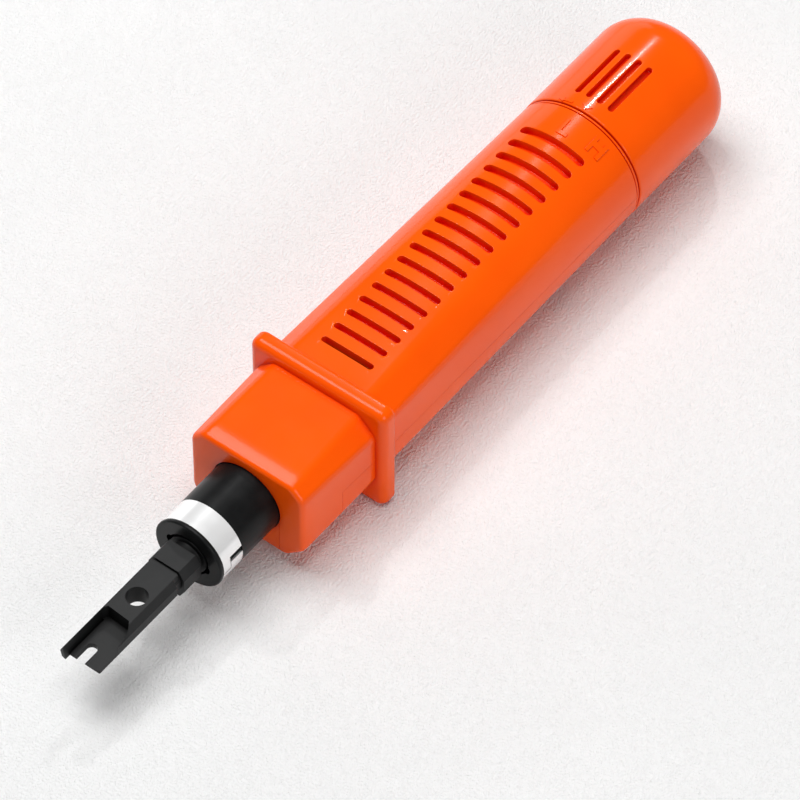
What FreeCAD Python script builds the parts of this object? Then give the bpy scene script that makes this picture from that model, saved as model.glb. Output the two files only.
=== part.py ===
import FreeCAD, Part
import math
import os

# Impact punch-down tool for insulation-displacement blocks.
# Millimetres.  The tool axis runs along X with the blade towards +X.  The body lies
# on its side with the grip-slot face up (+Z).  The solids are drawn about the tool
# axis and lifted at the end, so the lowest point of the round rear end is at Z = 0
# and the origin is under the middle of the tool.

V = FreeCAD.Vector
X_AXIS = V(1, 0, 0)
Y_AXIS = V(0, 1, 0)
Z_AXIS = V(0, 0, 1)

# ---------------------------------------------------------------- driving dimensions
REAR_R = 13.5            # round rear end of the handle and its cap
TIP_X = 86.0             # cutting tip of the blade
CAP_END_X = -86.0        # domed end of the cap
AXIS_Z = REAR_R          # height of the tool axis above the surface it lies on

# handle stations along X
NOSE_FRONT_X = 40.0
GUARD_FRONT_X = 20.5
GUARD_REAR_X = 16.9
BODY_REAR_X = -55.2
BOSS_END_X = -63.5
CAP_FRONT_X = -56.25
SEAM_BASE_R = 12.8
SEAM_CREST_R = 13.35

# eight-sided outlines: half width and height of each corner, above and below the axis
# (top corner y, z), (upper side corner y, z), (lower side corner y, z), (bottom corner y, z)
NOSE_FRONT_OUTLINE = ((9.8, 9.6), (12.4, 7.0), (12.4, -6.6), (8.4, -10.6))
NOSE_REAR_OUTLINE = ((9.2, 10.4), (13.1, 6.5), (13.1, -5.2), (7.8, -11.2))
BODY_FRONT_OUTLINE = ((8.7, 11.3), (13.1, 7.5), (13.1, -4.6), (8.0, -11.3))
REAR_CORNER_ANGLES = (59.0, 31.8, -21.0, -56.0)
FLAT_BULGE = 0.02        # a flat side is drawn as a very shallow arc

WALL = 2.2
NOSE_WALL = 1.8
NOSE_END_WALL = 1.0
RIB_T = 1.6
RIB_STATIONS = (-16.0, -30.0, -44.0)

# hand guard
GUARD_W = 29.8
GUARD_H = 25.4
GUARD_CORNER_R = 2.0
GUARD_REAR_EDGE_R = 0.9
GUARD_FRONT_EDGE_R = 1.6

# grip slots across the top of the handle
SLOT_COUNT = 17
SLOT_FIRST_X = 11.6
SLOT_PITCH = 3.69
SLOT_HALF_LEN = (5.6, 6.9)     # first and last slot
SLOT_WIDTH = (1.25, 1.75)      # first and last slot
SLOT_DEPTH = 1.8

# cap
CAP_EDGE_R = 7.5
CAP_WALL = 2.2
CAP_SLOT_ANGLES = (74.4, 84.8, 95.2, 105.6)
CAP_SLOT_X = (-71.6, -60.1)
CAP_SLOT_W = 1.15
CAP_SLOT_DEPTH = 1.2
MARK_RISE = 0.2          # height of the raised marks on the handle and cap

# chuck
COLLAR_R = 7.2
BAND_REAR_X = 50.0
BAND_FRONT_X = 55.1
BAND_T = 0.4
RIM_FRONT_X = 56.0
RIM_R = 7.3
SOCKET_R = 4.1
LUG_RECESS_R = 5.25
LUG_RECESS_X = 53.3
KEYHOLE_R = 4.45
KEYHOLE_LOBE = (4.95, 1.15)    # reach and half width
KEYHOLE_ANGLE = -20.0    # direction of the lobes that let the blade lugs through
BAND_GAP_STEP_X = 53.2
COLLAR_FLANGE_R = 7.9
COLLAR_REAR_X = 25.0

# striking mechanism
PRESS_TRAVEL = 8.0
TRIP_TRAVEL = 1.6
CAP_TURN_DEG = 28.0
PRELOAD_TRAVEL = 3.0
ROD_R = 2.2
ROD_TAIL_X = 2.2
HAMMER_R = 6.5
HAMMER_FRONT_X = 6.2
HAMMER_REAR_X = -23.8
TUBE_R = (6.6, 7.6)
TUBE_X = (-54.9, 6.3)
WASHER_X = (6.4, 7.9)
LATCH_X = (-0.4, 2.0)
LATCH_HALF_Z = 3.4
LATCH_Y = (-3.4, 8.6)
LATCH_HOLE_R = 2.4
SEAT_X = (-53.0, -50.0)
CAM_PIN_X = -70.0
CAM_PIN_R = 1.25
CAM_SLEEVE_R = (4.5, 8.9)
CAM_SLEEVE_X = (-81.8, -64.9)

# blade: outlines as (top y, z), (upper side y, z), (lower side y, z), (bottom y, z)
SHANK_REAR_X = 41.0
NECK_X = (56.1, 57.35)         # narrow round neck just outside the rim plate
NECK_R = 3.0
SHANK_FRONT_X = 61.9
WEB_REAR_X = 62.25
BLADE_REAR_X = 63.6
SHANK_R = 3.95
SHANK_OUTLINE = ((2.8, 3.4), (3.9, 1.45), (3.9, -1.45), (2.8, -3.4))
WAIST_OUTLINE = ((2.4, 2.8), (3.2, 1.2), (3.2, -0.6), (2.7, -1.15))
BLADE_OUTLINE = ((2.92, 3.1), (3.75, 1.4), (3.75, -0.65), (3.2, -1.15))
LUG = (4.8, 0.95)                # reach and half width
BLADE_HOLE = (70.0, 0.25)
BLADE_HOLE_R = 2.0
POCKET_FLOOR_Z = 0.0
POCKET_REAR = ((74.5, -2.35), (74.85, 2.45))
POCKET_SIDE = ((75.6, 3.0), (76.3, 3.28), (77.3, 3.5), (78.5, 3.66), (79.8, 3.78))
WALL_Y = -3.0                  # inner face of the cutting wall
WALL_REAR_X = 75.5
RELIEF_W = 0.45                # groove along the foot of the cutting wall
RELIEF_DEPTH = 0.7
WALL_RAKE = 0.15               # the end of the wall leans back this much per mm down
PRONG_END_X = 84.75
PRONG_RAKE = 0.5
PRONG_CORNER = (2.5, 0.5)      # bevel of the wide prong: where it starts and how far it goes back
WIRE_SLOT_Y = (-1.5, 0.7)
WIRE_SLOT_X = 81.55            # centre of the round end of the wire slot


# ------------------------------------------------------------------------- helpers
def cylinder_x(radius, x_from, x_to):
    """Solid cylinder about the tool axis."""
    return Part.makeCylinder(radius, x_to - x_from, V(x_from, 0, 0), X_AXIS)


def tube_x(inner, outer, x_from, x_to):
    """Ring about the tool axis."""
    return cylinder_x(outer, x_from, x_to).cut(cylinder_x(inner, x_from - 1, x_to + 1))


def block(x, y, z):
    """Box between pairs of limits along X, Y and Z."""
    corner = V(min(x), min(y), min(z))
    return Part.makeBox(abs(x[1] - x[0]), abs(y[1] - y[0]), abs(z[1] - z[0]), corner)


def round_ended_bar(size, x_from, x_to):
    """Bar across the axis with round ends, from its reach each way and its half width."""
    reach, half_width = size
    centre = reach - half_width
    shape = block((x_from, x_to), (-centre, centre), (-half_width, half_width))
    for side in (-centre, centre):
        end = Part.makeCylinder(half_width, x_to - x_from, V(x_from, side, 0), X_AXIS)
        shape = shape.fuse(end)
    return shape


def turned(shape, degrees):
    """Copy of a shape turned about the tool axis."""
    copy = shape.copy()
    copy.rotate(V(0, 0, 0), X_AXIS, degrees)
    return copy


def moved(shape, offset):
    """Copy of a shape shifted by a vector."""
    copy = shape.copy()
    copy.translate(offset)
    return copy


def fuse_all(shapes):
    """Union of a list of solids."""
    result = shapes[0]
    for shape in shapes[1:]:
        result = result.fuse(shape)
    return result.removeSplitter()


def cut_all(shape, tools):
    """Shape with every tool taken away from it."""
    for tool in tools:
        shape = shape.cut(tool)
    return shape.removeSplitter()


def polar(radius, degrees):
    """Y and Z of a point about the tool axis, 0 degrees on +Y and 90 on +Z."""
    angle = math.radians(degrees)
    return radius * math.cos(angle), radius * math.sin(angle)


def mirrored_corners(half):
    """Eight corners in order round the section from the four on its +Y side."""
    right = list(half)
    left = [(-y, z) for y, z in reversed(half)]
    return right + left


def arc_section(x, corners, mids):
    """Closed wire of eight arcs at station x."""
    edges = []
    count = len(corners)
    for i in range(count):
        start = V(x, *corners[i])
        middle = V(x, *mids[i])
        end = V(x, *corners[(i + 1) % count])
        edges.append(Part.Arc(start, middle, end).toShape())
    return Part.Wire(edges)


def flat_section(x, half, inset=0.0):
    """Eight-sided section with very shallow arcs for sides, inset by a wall thickness."""
    corners = [inset_corner(y, z, inset) for y, z in mirrored_corners(half)]
    mids = []
    for i, (y, z) in enumerate(corners):
        next_y, next_z = corners[(i + 1) % len(corners)]
        mid_y = (y + next_y) / 2
        mid_z = (z + next_z) / 2
        scale = 1 + FLAT_BULGE / math.hypot(mid_y, mid_z)
        mids.append((mid_y * scale, mid_z * scale))
    return arc_section(x, corners, mids)


def inset_corner(y, z, inset):
    """Corner of a section moved towards the axis by about one wall thickness."""
    radius = math.hypot(y, z)
    scale = (radius - 1.06 * inset) / radius
    return y * scale, z * scale


def round_section(x, radius):
    """Circle drawn as eight arcs that match the corners of the eight-sided sections."""
    right = list(REAR_CORNER_ANGLES)
    angles = right + [180 - a for a in reversed(right)]
    corners = [polar(radius, a) for a in angles]
    mids = []
    for i, angle in enumerate(angles):
        step = (angles[(i + 1) % len(angles)] - angle) % 360
        if step > 180:
            step -= 360
        mids.append(polar(radius, angle + step / 2))
    return arc_section(x, corners, mids)


def body_loft(inset=0.0, x_from=BODY_REAR_X, x_to=GUARD_REAR_X):
    """Handle behind the guard: eight-sided at the guard, round at the cap."""
    rear = round_section(BODY_REAR_X, REAR_R - inset)
    front = flat_section(GUARD_REAR_X, BODY_FRONT_OUTLINE, inset)
    full = Part.makeLoft([rear, front], True, True)
    if x_from > BODY_REAR_X or x_to < GUARD_REAR_X:
        full = full.common(block((x_from, x_to), (-20, 20), (-20, 20)))
    return full


def nose_loft(inset=0.0, x_from=GUARD_REAR_X, x_to=NOSE_FRONT_X):
    """Nose from the rear of the guard to its front face."""
    rear = flat_section(GUARD_REAR_X, NOSE_REAR_OUTLINE, inset)
    front = flat_section(NOSE_FRONT_X, NOSE_FRONT_OUTLINE, inset)
    full = Part.makeLoft([rear, front], True, True)
    if x_from > GUARD_REAR_X or x_to < NOSE_FRONT_X:
        full = full.common(block((x_from, x_to), (-20, 20), (-20, 20)))
    return full


def helix_spring(mean_r, wire_r, x_from, x_to, turns):
    """Compression spring about the tool axis, its wire centred between the two ends."""
    length = x_to - x_from - 2 * wire_r
    helix = Part.makeHelix(length / turns, length, mean_r)
    profile = Part.Wire(Part.makeCircle(wire_r, V(mean_r, 0, 0), Y_AXIS))
    coil = Part.Wire(helix).makePipeShell([profile], True, True)
    coil.rotate(V(0, 0, 0), Y_AXIS, 90)
    coil.translate(V(x_from + wire_r, 0, 0))
    return coil


# ------------------------------------------------------------------- handle shells
def grip_slot_tools():
    """Cutters for the row of cross slots; each floor follows the handle surface."""
    tools = []
    for i in range(SLOT_COUNT):
        share = i / (SLOT_COUNT - 1)
        x = SLOT_FIRST_X - i * SLOT_PITCH
        half_len = SLOT_HALF_LEN[0] + share * (SLOT_HALF_LEN[1] - SLOT_HALF_LEN[0])
        radius = (SLOT_WIDTH[0] + share * (SLOT_WIDTH[1] - SLOT_WIDTH[0])) / 2
        reach = half_len - radius
        bar = block((x - radius, x + radius), (-reach, reach), (8, 16))
        ends = [Part.makeCylinder(radius, 8, V(x, y, 8)) for y in (-reach, reach)]
        tools.append(fuse_all([bar] + ends))
    floor = body_loft(SLOT_DEPTH / 1.06)
    return [tool.cut(floor) for tool in tools]


def plan_prism(outline, z_from, z_to):
    """Upright prism on a flat outline of (x, y) points."""
    points = [V(x, y, z_from) for x, y in outline]
    return Part.Face(Part.makePolygon(points + [points[0]])).extrude(V(0, 0, z_to - z_from))


def side_prism(outline, y_from, y_to):
    """Prism across the tool on an outline of (x, z) points."""
    points = [V(x, y_from, z) for x, z in outline]
    return Part.Face(Part.makePolygon(points + [points[0]])).extrude(V(0, y_to - y_from, 0))


def bar_outline(x, y):
    """Rectangle between pairs of limits."""
    return [(x[0], y[0]), (x[1], y[0]), (x[1], y[1]), (x[0], y[1])]


def raised_mark(outlines, degrees, surface):
    """Flat outlines stood on the handle or cap at an angle, trimmed to a surface above it."""
    prisms = [turned(plan_prism(outline, 12.0, 16.0), degrees - 90) for outline in outlines]
    return fuse_all(prisms).common(surface)


def setting_marks():
    """Raised marks at the rear of the handle: an L for the low setting, an H for the high one."""
    low = [bar_outline((-53.2, -49.5), (-0.82, -0.19)), bar_outline((-50.3, -49.5), (-0.82, 1.34))]
    high = [bar_outline((-53.7, -50.05), (-1.29, -0.52)), bar_outline((-53.7, -50.05), (1.01, 1.88)),
            bar_outline((-52.87, -51.62), (-1.29, 1.88))]
    surface = body_loft(-MARK_RISE)
    return [raised_mark(low, 90, surface), raised_mark(high, 90 - CAP_TURN_DEG, surface)]


def screw_sites():
    """X and Y of the four housing screws."""
    return [(x, y) for x in (11.5, -37.0) for y in (-9.4, 9.4)]


def shell_outer():
    """Outer form of the two shells together, with the boss that carries the cap."""
    boss = cylinder_x(10.8, BOSS_END_X, BODY_REAR_X + 0.5)
    return fuse_all([body_loft(), nose_loft(), boss])


def shell_cavity():
    """Hollow inside of the shells, with ribs left standing round the mechanism."""
    inner_body = body_loft(WALL, BODY_REAR_X + WALL, GUARD_REAR_X)
    inner_nose = nose_loft(NOSE_WALL, GUARD_REAR_X, 34.0)
    ribs = [block((x - RIB_T / 2, x + RIB_T / 2), (-20, 20), (-20, 20)) for x in RIB_STATIONS]
    ribs.append(block((3.6, 9.6), (-20, 20), (-20, 20)))
    ribs.append(block((27.1, 28.7), (-20, 20), (-20, 20)))
    bosses = [Part.makeCylinder(1.8, 40, V(x, y, -20)) for x, y in screw_sites()]
    hollow = cut_all(fuse_all([inner_body, inner_nose]), ribs + bosses)
    bores = [
        cylinder_x(TUBE_R[1] + 0.05, BOSS_END_X - 1, WASHER_X[1]),
        cylinder_x(5.8, WASHER_X[1] - 0.5, 12.0),
        cylinder_x(8.3, 11.0, 27.1),
        cylinder_x(8.6, 27.1, NOSE_FRONT_X - NOSE_END_WALL),
        cylinder_x(COLLAR_R + 0.2, NOSE_FRONT_X - 3, NOSE_FRONT_X + 1),
    ]
    return [hollow] + bores


def parting_tool():
    """Region of the lower shell: below the axis, with a narrow tongue under the nose."""
    main = block((BOSS_END_X - 1, 29.3), (-20, 20), (-20, 0))
    tongue = block((29.3, NOSE_FRONT_X + 1), (-7.1, 7.1), (-20, 0))
    return main.fuse(tongue)


def handle_shells():
    """Upper and lower handle shells."""
    solid = cut_all(shell_outer(), shell_cavity())
    cap_groove = tube_x(10.3, 12.0, -62.3, -60.7)
    solid = solid.cut(cap_groove)
    lower_region = parting_tool()
    upper = solid.cut(lower_region)
    lower = solid.common(lower_region)
    upper = fuse_all([cut_all(upper, grip_slot_tools())] + setting_marks())
    leaf_pocket = leaf_sector(10.25, 11.5, -59.8, -57.4, 29.0)
    lower = lower.cut(leaf_pocket)
    for x, y in screw_sites():
        upper = upper.cut(Part.makeCylinder(0.9, 5.2, V(x, y, -0.1)))
        lower = lower.cut(Part.makeCylinder(1.15, 20, V(x, y, -20)))
        lower = lower.cut(Part.makeCylinder(1.95, 20, V(x, y, -25.5)))
    return biggest(upper), biggest(lower)


def biggest(shape):
    """Largest solid of a shape, without slivers left by a cut."""
    solids = sorted(shape.Solids, key=lambda s: s.Volume)
    return solids[-1]


def leaf_sector(inner, outer, x_from, x_to, half_angle):
    """Sector of a ring centred on the underside of the rear boss."""
    corners = [V(x_from, inner, 0), V(x_to, inner, 0), V(x_to, outer, 0), V(x_from, outer, 0)]
    edge = Part.Face(Part.makePolygon(corners + [corners[0]]))
    sector = edge.revolve(V(0, 0, 0), X_AXIS, 2 * half_angle)
    return turned(sector, -90 - half_angle)


def housing_screws():
    """Four self-tapping screws put in from below."""
    screws = []
    for x, y in screw_sites():
        shank = Part.makeCylinder(0.9, 9.8, V(x, y, -5.2))
        head = Part.makeCylinder(1.85, 1.3, V(x, y, -6.8))
        neck = Part.makeCylinder(1.1, 0.6, V(x, y, -5.7))
        drive = fuse_all([block((x - 1.2, x + 1.2), (y - 0.2, y + 0.2), (-7.0, -6.2)),
                          block((x - 0.2, x + 0.2), (y - 1.2, y + 1.2), (-7.0, -6.2))])
        screws.append(fuse_all([shank, head, neck]).cut(drive))
    return Part.makeCompound(screws)


def hand_guard():
    """One-piece flange that slips over the nose and seats against the handle shoulder."""
    width = GUARD_W / 2
    height = GUARD_H / 2
    plate = block((GUARD_REAR_X, GUARD_FRONT_X), (-width, width), (-height, height))
    corners = [e for e in plate.Edges if abs(e.tangentAt(e.FirstParameter).x) > 0.9]
    plate = plate.makeFillet(GUARD_CORNER_R, corners)
    for x, radius in ((GUARD_REAR_X, GUARD_REAR_EDGE_R), (GUARD_FRONT_X, GUARD_FRONT_EDGE_R)):
        rims = [e for e in plate.Edges if e.BoundBox.XLength < 0.01 and abs(e.BoundBox.XMin - x) < 0.01]
        plate = plate.makeFillet(radius, rims)
    return plate.cut(nose_loft())


def seam_ring():
    """Thin spacer ring between the handle and the cap, with a raised crest."""
    base = tube_x(10.85, SEAM_BASE_R, CAP_FRONT_X + 0.25, BODY_REAR_X)
    crest = tube_x(SEAM_BASE_R - 0.5, SEAM_CREST_R, CAP_FRONT_X + 0.3, BODY_REAR_X - 0.3)
    return base.fuse(crest).removeSplitter()


# --------------------------------------------------------------------- cap and dial
def cap_profile_face():
    """Half section of the outside of the cap."""
    start_x = CAP_END_X + CAP_EDGE_R
    flat_r = REAR_R - CAP_EDGE_R
    bend = CAP_EDGE_R * math.sqrt(0.5)
    rim = 0.2
    points = [V(CAP_END_X, flat_r, 0), V(CAP_END_X, 0, 0), V(CAP_FRONT_X, 0, 0),
              V(CAP_FRONT_X, REAR_R - rim, 0), V(CAP_FRONT_X - rim, REAR_R, 0), V(start_x, REAR_R, 0)]
    edges = [Part.LineSegment(a, b).toShape() for a, b in zip(points, points[1:])]
    edges.append(Part.Arc(V(start_x, REAR_R, 0), V(start_x - bend, flat_r + bend, 0), points[0]).toShape())
    return Part.Face(Part.Wire(edges))


def adjuster_cap():
    """Cap that is turned to set the blow: hollow, snapped over the rear boss."""
    outside = cap_profile_face().revolve(V(0, 0, 0), X_AXIS, 360)
    hollow = fuse_all([cylinder_x(11.05, -64.5, CAP_FRONT_X + 1), cylinder_x(11.3, -78.0, -64.4)])
    sleeve_seat = cylinder_x(10.2, -80.0, -67.0)
    sleeve_bore = cylinder_x(CAM_SLEEVE_R[1], CAM_SLEEVE_X[0], -66.0)
    snap_ridge = tube_x(10.5, 11.5, -61.9, -61.1)
    leaf_track = tube_x(10.0, 11.4, -59.9, -57.3)
    notch = Part.makeCylinder(0.85, 2.6, V(-59.9, 0, -11.0), X_AXIS)
    cap = outside.cut(hollow).fuse(sleeve_seat).cut(sleeve_bore).fuse(snap_ridge)
    cap = cap.cut(leaf_track).cut(notch).cut(turned(notch, CAP_TURN_DEG))
    return fuse_all([cut_all(cap, cap_slot_tools())] + cap_marks())


def cap_slot_tools():
    """Cutters for the four lengthwise grip slots on the cap."""
    x_from, x_to = CAP_SLOT_X
    radius = CAP_SLOT_W / 2
    bar = block((x_from, x_to), (-radius, radius), (10, 16))
    ends = [Part.makeCylinder(radius, 6, V(x, 0, 10)) for x in (x_from, x_to)]
    slot = fuse_all([bar] + ends).cut(cylinder_x(REAR_R - CAP_SLOT_DEPTH, x_from - 2, x_to + 2))
    return [turned(slot, angle - 90) for angle in CAP_SLOT_ANGLES]


def cap_marks():
    """Raised setting pointer and turn arrow at the front edge of the cap."""
    pointer = [(-56.5, 0), (-57.85, 1.06), (-57.85, -1.06)]
    arrow_head = [(-56.85, -1.55), (-56.3, -0.3), (-57.4, -0.3)]
    arrow_shaft = bar_outline((-57.1, -56.6), (-0.4, 1.6))
    surface = cylinder_x(REAR_R + MARK_RISE, -59, CAP_FRONT_X)
    return [raised_mark([pointer], 89.3, surface), raised_mark([arrow_head, arrow_shaft], 107.5, surface)]


def cam_sleeve():
    """Sleeve fixed in the cap, with two slanting slots that drive the cross pin."""
    sleeve = tube_x(CAM_SLEEVE_R[0], CAM_SLEEVE_R[1], *CAM_SLEEVE_X)
    steps = 12
    for i in range(steps + 1):
        angle = -1.0 + i * (CAP_TURN_DEG + 2.0) / steps
        x = CAM_PIN_X + PRELOAD_TRAVEL * angle / CAP_TURN_DEG
        for side in (0, 180):
            drill = Part.makeCylinder(CAM_PIN_R + 0.15, 8, V(x, 3, 0), Y_AXIS)
            sleeve = sleeve.cut(turned(drill, angle + side))
    return sleeve


def spring_seat():
    """Disc behind the main spring, keyed in the guide tube, with a stem for the cross pin."""
    disc = cylinder_x(HAMMER_R, *SEAT_X)
    pilot = cylinder_x(3.4, SEAT_X[1], SEAT_X[1] + 2.0)
    stem = cylinder_x(4.2, CAM_PIN_X - 4.5, SEAT_X[0])
    lugs = block(SEAT_X, (-7.5, 7.5), (-1.0, 1.0))
    hole = Part.makeCylinder(CAM_PIN_R, 12, V(CAM_PIN_X, -6, 0), Y_AXIS)
    return fuse_all([disc, pilot, stem, lugs]).cut(hole)


def cam_pin():
    """Cross pin through the stem of the spring seat."""
    return Part.makeCylinder(CAM_PIN_R, 16.6, V(CAM_PIN_X, -8.3, 0), Y_AXIS)


def detent_leaf():
    """Curved leaf spring with a bump that clicks into the cap at each setting."""
    strip = leaf_sector(10.3, 10.65, -59.6, -57.6, 26.0)
    bump = Part.makeCylinder(0.65, 2.0, V(-59.6, 0, -10.65), X_AXIS)
    bump = bump.cut(cylinder_x(10.35, -60, -57))
    return fuse_all([strip, bump])


# ---------------------------------------------------------------- striking mechanism
def guide_tube():
    """Tube in which the hammer slides, with a trip window and two key slots."""
    tube = tube_x(TUBE_R[0], TUBE_R[1], *TUBE_X)
    window = block((-10.4, 3.0), (0, 10), (-3.75, 3.75))
    keys = block((TUBE_X[0] - 1, SEAT_X[1] + PRELOAD_TRAVEL + 0.6), (-10, 10), (-1.15, 1.15))
    return cut_all(tube, [window, keys])


def stop_washer():
    """Washer that stops the hammer and carries the return spring."""
    return tube_x(ROD_R + 0.15, TUBE_R[1], *WASHER_X)


def anvil_rod():
    """Rod behind the collar: its tail pushes the latch and takes the blow."""
    stub = cylinder_x(3.0, COLLAR_REAR_X, 34.0)
    shoulder = cylinder_x(5.5, 22.0, COLLAR_REAR_X)
    tail = cylinder_x(ROD_R, ROD_TAIL_X, 22.5)
    hole = Part.makeCylinder(0.9, 20, V(31.0, -10, 0), Y_AXIS)
    return fuse_all([stub, shoulder, tail]).cut(hole)


def hammer():
    """Steel striker with a bore for the rod tail and a cross slot for the latch."""
    body = cylinder_x(HAMMER_R, HAMMER_REAR_X, HAMMER_FRONT_X)
    spigot = cylinder_x(3.4, HAMMER_REAR_X - 2.0, HAMMER_REAR_X)
    bore = cylinder_x(ROD_R + 0.1, -10.0, HAMMER_FRONT_X + 1)
    slot = block((LATCH_X[0] - 0.1, LATCH_X[1] + 0.1), (-5.1, 10),
                 (-LATCH_HALF_Z - 0.08, LATCH_HALF_Z + 0.08))
    pocket = Part.makeCylinder(1.0, 1.5, V(0.8, -5.9, 0), Y_AXIS)
    return cut_all(fuse_all([body, spigot]), [bore, slot, pocket])


def latch_plate():
    """Plate that blocks the rod tail until the trip ramp centres its hole."""
    plate = block(LATCH_X, LATCH_Y, (-LATCH_HALF_Z, LATCH_HALF_Z))
    hole = cylinder_x(LATCH_HOLE_R, LATCH_X[0] - 1, LATCH_X[1] + 1)
    plate = plate.cut(moved(hole, V(0, TRIP_TRAVEL, 0)))
    inside = cylinder_x(8.95, LATCH_X[0] - 1, LATCH_X[1] + 1)
    return plate.common(inside)


def latch_spring():
    """Small coil that pushes the latch back towards the ramp."""
    length = 2.4
    wire_r = 0.13
    helix = Part.makeHelix((length - 2 * wire_r) / 4, length - 2 * wire_r, 0.75)
    profile = Part.Wire(Part.makeCircle(wire_r, V(0.75, 0, 0), Y_AXIS))
    coil = Part.Wire(helix).makePipeShell([profile], True, True)
    coil.rotate(V(0, 0, 0), X_AXIS, 90)
    coil.translate(V(0.8, -3.45 - wire_r, 0))
    return coil


def trip_ramp():
    """Wedge on the inside wall that pushes the latch across as the hammer goes back."""
    slope = TRIP_TRAVEL / PRESS_TRAVEL
    gap = 0.2
    rear_x = -9.6
    front_x = 3.2
    face_y = [LATCH_Y[1] + gap + slope * (x - LATCH_X[0]) for x in (rear_x, front_x)]
    outline = Part.makePolygon([
        V(rear_x, face_y[0], -3.2), V(front_x, face_y[1], -3.2), V(front_x, 14, -3.2),
        V(rear_x, 14, -3.2), V(rear_x, face_y[0], -3.2)])
    wedge = Part.Face(outline).extrude(V(0, 0, 6.4))
    return wedge.common(body_loft(WALL))


def front_bushing():
    """Plain bearing for the chuck collar in the nose."""
    return tube_x(COLLAR_R + 0.05, 8.6, 27.1, NOSE_FRONT_X - NOSE_END_WALL)


# ---------------------------------------------------------------------------- chuck
def collar():
    """Sliding chuck body with the blade socket."""
    body = cylinder_x(COLLAR_R, COLLAR_REAR_X, BAND_REAR_X)
    flange = cylinder_x(COLLAR_FLANGE_R, COLLAR_REAR_X, 26.9)
    band_seat = cylinder_x(COLLAR_R - BAND_T, BAND_REAR_X, BAND_FRONT_X)
    cuts = [
        cylinder_x(SOCKET_R, 36.0, 60.0),
        cylinder_x(LUG_RECESS_R, LUG_RECESS_X, 60.0),
        cylinder_x(3.0, COLLAR_REAR_X - 1, 34.0),
        Part.makeCylinder(0.9, 20, V(31.0, -10, 0), Y_AXIS),
        Part.makeCylinder(1.55, 10, V(51.6, 0, 0), Z_AXIS),
    ]
    return cut_all(fuse_all([body, flange, band_seat]), cuts)


def collar_pin():
    """Cross pin that holds the rod in the collar."""
    return Part.makeCylinder(0.9, 13.6, V(31.0, -6.8, 0), Y_AXIS)


def retention_ball():
    """Ball under the band that clicks into the groove of the blade shank."""
    return Part.makeSphere(1.5, V(51.6, 0, 5.25))


def retaining_band():
    """Sprung open ring with a stepped gap on its side."""
    ring = tube_x(COLLAR_R - BAND_T, COLLAR_R, BAND_REAR_X, BAND_FRONT_X)
    wide_gap = block((BAND_REAR_X - 1, BAND_GAP_STEP_X), (5, 9), (-0.32, 0.32))
    thin_gap = block((BAND_GAP_STEP_X - 0.1, BAND_FRONT_X + 1), (5, 9), (-0.07, 0.07))
    step = block((BAND_GAP_STEP_X - 0.07, BAND_GAP_STEP_X + 0.07), (5, 9), (-1.05, 1.3))
    return cut_all(ring, [turned(wide_gap, 10.0), turned(thin_gap, -8.5), step])


def rim_plate():
    """Front flange of the chuck with a keyhole for the blade lugs."""
    disc = cylinder_x(RIM_R, BAND_FRONT_X, RIM_FRONT_X)
    rims = [e for e in disc.Edges if e.BoundBox.XLength < 0.01]
    disc = disc.makeFillet(0.35, rims)
    lobes = round_ended_bar(KEYHOLE_LOBE, 50, 60)
    return cut_all(disc, [cylinder_x(KEYHOLE_R, 50, 60), turned(lobes, KEYHOLE_ANGLE)])


# ---------------------------------------------------------------------------- blade
def eight_sided_bar(outline, x_from, x_to):
    """Eight-sided bar along the tool axis."""
    points = [V(x_from, y, z) for y, z in mirrored_corners(outline)]
    return Part.Face(Part.makePolygon(points + [points[0]])).extrude(V(x_to - x_from, 0, 0))


def blade_pocket_tools():
    """Space over the wire end, open in front and to +Y, and the groove by its wall."""
    rear_left, rear_right = POCKET_REAR
    outline = [rear_left, rear_right] + list(POCKET_SIDE)
    outline += [(POCKET_SIDE[-1][0], 6), (TIP_X + 2, 6), (TIP_X + 2, WALL_Y), (WALL_REAR_X, WALL_Y)]
    space = plan_prism(outline, POCKET_FLOOR_Z, 6)
    relief = block((WALL_REAR_X, TIP_X + 2), (WALL_Y, WALL_Y + RELIEF_W),
                   (POCKET_FLOOR_Z - RELIEF_DEPTH, 3))
    return [space, relief]


def raked_end(x_at_floor, rake, y_from, y_to):
    """Cutter ahead of an end face that leans back as it goes down."""
    high, low = 4.0, -4.0
    outline = [(x_at_floor + rake * high, high), (x_at_floor + rake * low, low),
               (TIP_X + 6, low), (TIP_X + 6, high)]
    return side_prism(outline, y_from, y_to)


def blade_end_tools():
    """Cutters for the wire slot and for the ends of the two prongs and the wall."""
    slot_r = (WIRE_SLOT_Y[1] - WIRE_SLOT_Y[0]) / 2
    slot_y = (WIRE_SLOT_Y[1] + WIRE_SLOT_Y[0]) / 2
    slot_end = Part.makeCylinder(slot_r, 12, V(WIRE_SLOT_X, slot_y, -6))
    slot = block((WIRE_SLOT_X, TIP_X + 1), WIRE_SLOT_Y, (-6, 6))
    prongs = raked_end(PRONG_END_X, PRONG_RAKE, WALL_Y, 6)
    corner_y, corner_x = PRONG_CORNER
    corner = plan_prism([(PRONG_END_X, corner_y), (PRONG_END_X - corner_x, BLADE_OUTLINE[1][0]),
                         (PRONG_END_X - corner_x, 6), (TIP_X + 1, 6), (TIP_X + 1, corner_y)], -6, 6)
    wall = raked_end(TIP_X - 0.5, WALL_RAKE, -6, WALL_Y)
    return [slot_end, slot, prongs, corner, wall]


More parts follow.
